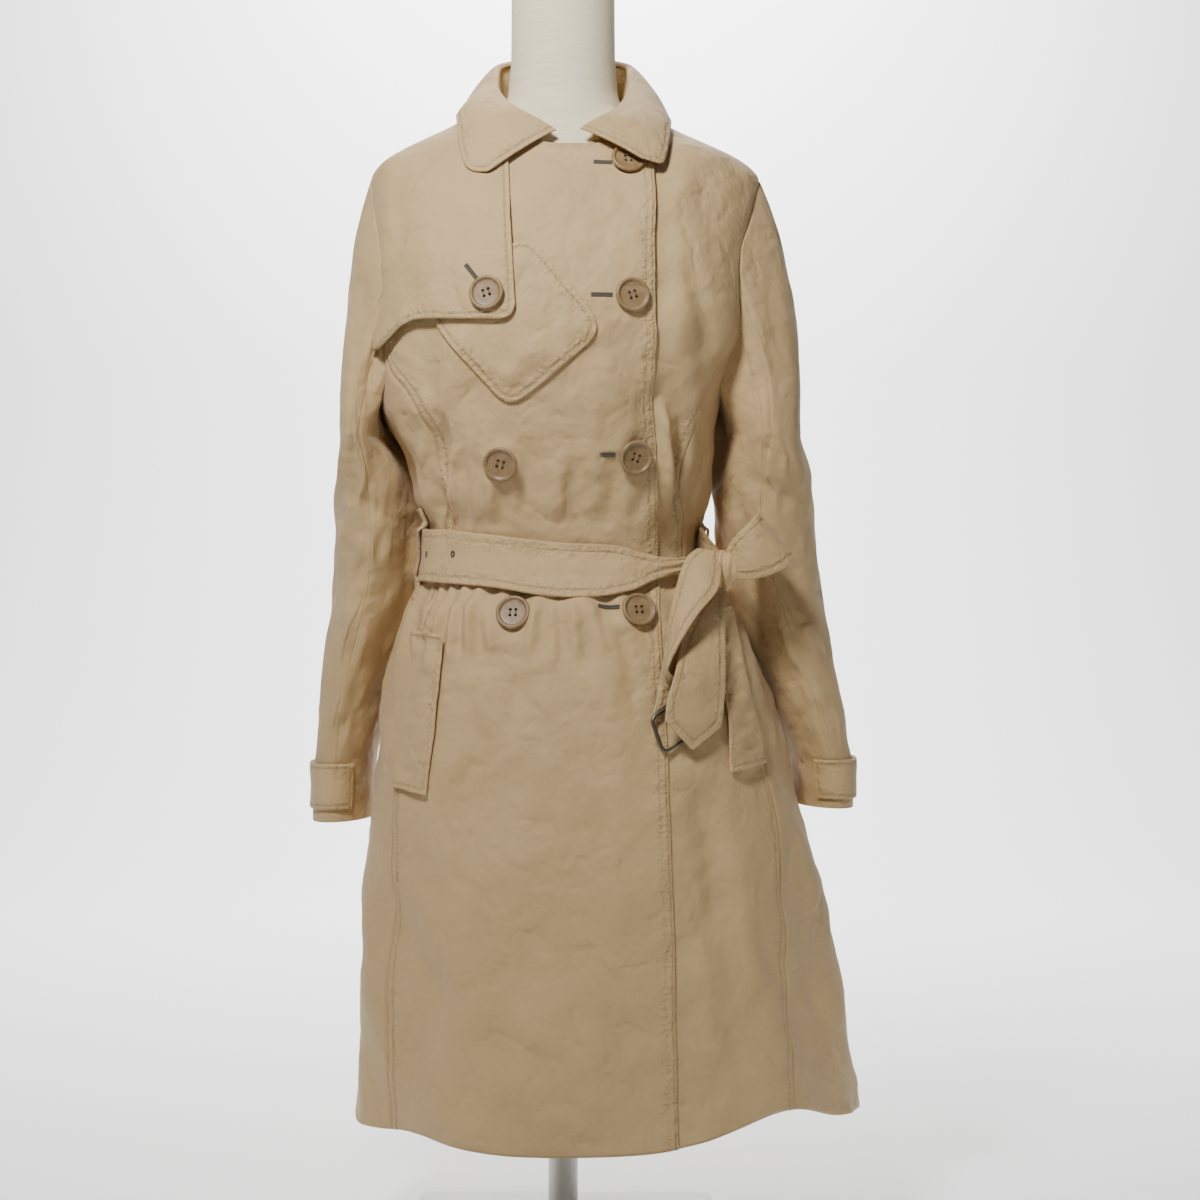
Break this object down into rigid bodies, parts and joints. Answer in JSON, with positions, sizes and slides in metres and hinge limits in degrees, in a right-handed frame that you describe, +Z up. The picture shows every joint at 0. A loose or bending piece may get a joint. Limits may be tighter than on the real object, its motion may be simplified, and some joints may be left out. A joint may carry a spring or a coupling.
{
  "type": "double-breasted trench coat on a limbless dress form with a stand",
  "caption": "Knee-length double-breasted trench coat with a tied belt, gun flap and cuff straps, worn by a limbless linen dress form on a pole and a square steel plate.",
  "frame": {"origin": "middle of the stand's plate, on the floor under the form's neck", "axes": "+Z up, the coat's front faces -Y, +X to the right of someone who looks at the front (the wearer's left)"},
  "size_m": [0.5237, 0.3511, 1.195],
  "materials": {
    "coat_cloth": "matte twill",
    "button": "satin, mottled like horn",
    "buckle_metal": "satin",
    "linen": "plain weave",
    "dark_wood": "satin",
    "pole_steel": "satin",
    "plate_paint": "satin"
  },
  "bodies": {
    "root": {"front_right": "coat_cloth", "front_left": "coat_cloth", "side_right": "coat_cloth", "side_left": "coat_cloth", "back": "coat_cloth", "sleeve_upper_right": "coat_cloth", "sleeve_under_right": "coat_cloth", "cuff_strap_right": "coat_cloth", "sleeve_upper_left": "coat_cloth", "sleeve_under_left": "coat_cloth", "cuff_strap_left": "coat_cloth", "collar_stand": "coat_cloth", "collar_fall": "coat_cloth", "gun_flap": "coat_cloth", "chest_tab": "coat_cloth", "pocket_welt_right": "coat_cloth", "pocket_welt_left": "coat_cloth", "belt_band": "coat_cloth", "belt_carrier_right": "coat_cloth", "belt_carrier_left": "coat_cloth", "belt_tail_buckle": "coat_cloth", "belt_tail_point": "coat_cloth", "belt_loop": "coat_cloth", "belt_knot": "coat_cloth", "button_left_1": "button", "button_left_2": "button", "button_left_3": "button", "button_left_4": "button", "button_right_2": "button", "button_right_3": "button", "button_right_4": "button", "buckle_frame": "buckle_metal", "buckle_prong": "buckle_metal", "form_torso": "linen", "neck_cap": "dark_wood", "pole": "pole_steel", "base_plate": "plate_paint"}
  },
  "joints": []
}
